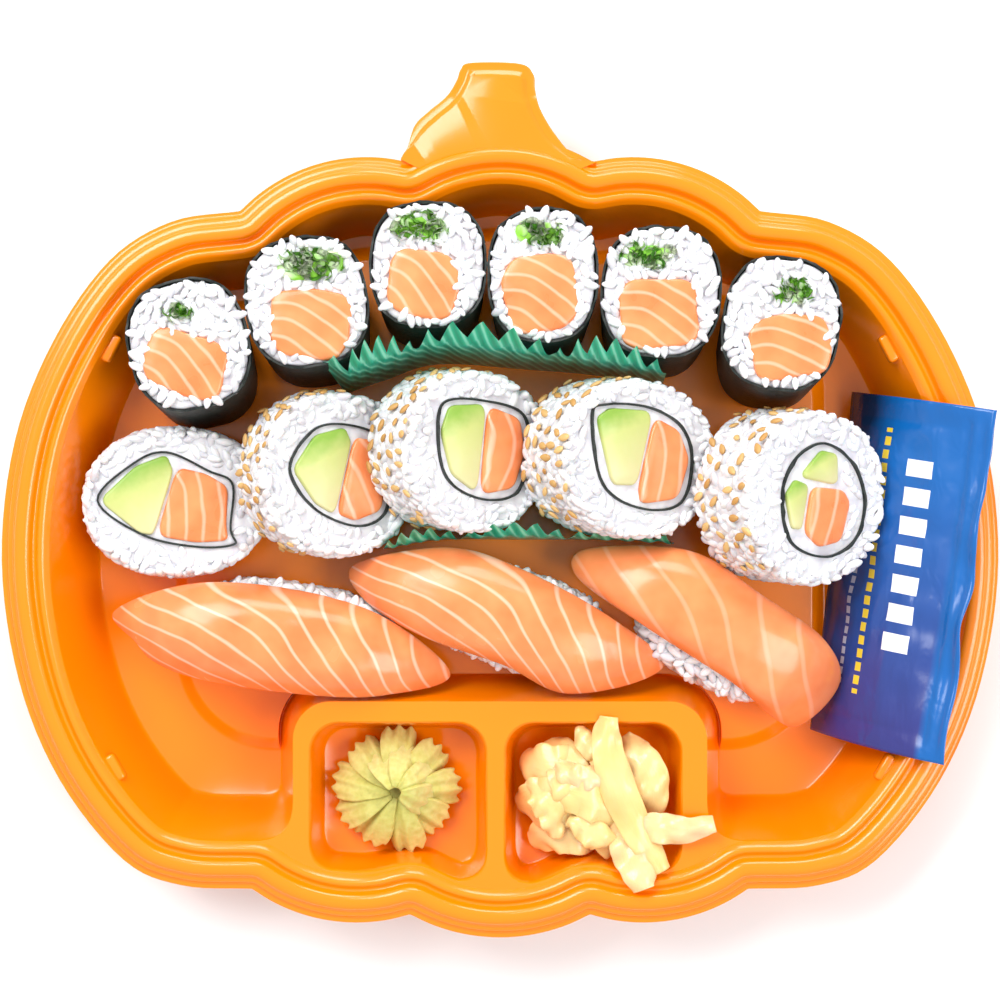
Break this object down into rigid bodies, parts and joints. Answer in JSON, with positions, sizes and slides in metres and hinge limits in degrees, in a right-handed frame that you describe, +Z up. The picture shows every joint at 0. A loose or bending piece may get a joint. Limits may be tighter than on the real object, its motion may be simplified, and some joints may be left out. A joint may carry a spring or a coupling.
{
  "type": "takeaway sushi tray",
  "caption": "Pumpkin-shaped plastic takeaway tray holding sushi rolls and salmon nigiri, with leaf dividers, a sauce sachet, and wasabi and pickled ginger in two small wells.",
  "frame": {"origin": "on the surface the tray stands on, below the middle of its box", "axes": "+Z up out of the tray, +Y towards the pumpkin's stem, +X to the right with the stem at the back"},
  "size_m": [0.2504, 0.22, 0.0465],
  "materials": {
    "tray": "gloss",
    "divider": "satin",
    "sachet": "gloss",
    "rice": "satin",
    "inner_rice": "satin",
    "nori": "satin",
    "salmon": "gloss",
    "spring_onion": "satin",
    "avocado": "satin",
    "wasabi": "matte",
    "ginger": "gloss"
  },
  "bodies": {
    "root": {"divider_back": "divider", "divider_front": "divider", "ginger": "ginger", "hosomaki_1_nori": "nori", "hosomaki_1_onion": "spring_onion", "hosomaki_1_rice": "rice", "hosomaki_1_salmon": "salmon", "hosomaki_2_nori": "nori", "hosomaki_2_onion": "spring_onion", "hosomaki_2_rice": "rice", "hosomaki_2_salmon": "salmon", "hosomaki_3_nori": "nori", "hosomaki_3_onion": "spring_onion", "hosomaki_3_rice": "rice", "hosomaki_3_salmon": "salmon", "hosomaki_4_nori": "nori", "hosomaki_4_onion": "spring_onion", "hosomaki_4_rice": "rice", "hosomaki_4_salmon": "salmon", "hosomaki_5_nori": "nori", "hosomaki_5_onion": "spring_onion", "hosomaki_5_rice": "rice", "hosomaki_5_salmon": "salmon", "hosomaki_6_nori": "nori", "hosomaki_6_onion": "spring_onion", "hosomaki_6_rice": "rice", "hosomaki_6_salmon": "salmon", "nigiri_1_rice": "rice", "nigiri_1_salmon": "salmon", "nigiri_2_rice": "rice", "nigiri_2_salmon": "salmon", "nigiri_3_rice": "rice", "nigiri_3_salmon": "salmon", "sachet": "sachet", "tray": "tray", "uramaki_1_avocado": "avocado", "uramaki_1_nori": "nori", "uramaki_1_rice": "rice", "uramaki_1_salmon": "salmon", "uramaki_2_avocado": "avocado", "uramaki_2_nori": "nori", "uramaki_2_rice": "rice", "uramaki_2_salmon": "salmon", "uramaki_3_avocado": "avocado", "uramaki_3_nori": "nori", "uramaki_3_rice": "rice", "uramaki_3_salmon": "salmon", "uramaki_4_avocado": "avocado", "uramaki_4_nori": "nori", "uramaki_4_rice": "rice", "uramaki_4_salmon": "salmon", "uramaki_5_avocado": "avocado", "uramaki_5_avocado_2": "avocado", "uramaki_5_core_rice": "inner_rice", "uramaki_5_nori": "nori", "uramaki_5_rice": "rice", "uramaki_5_salmon": "salmon", "wasabi": "wasabi"}
  },
  "joints": []
}
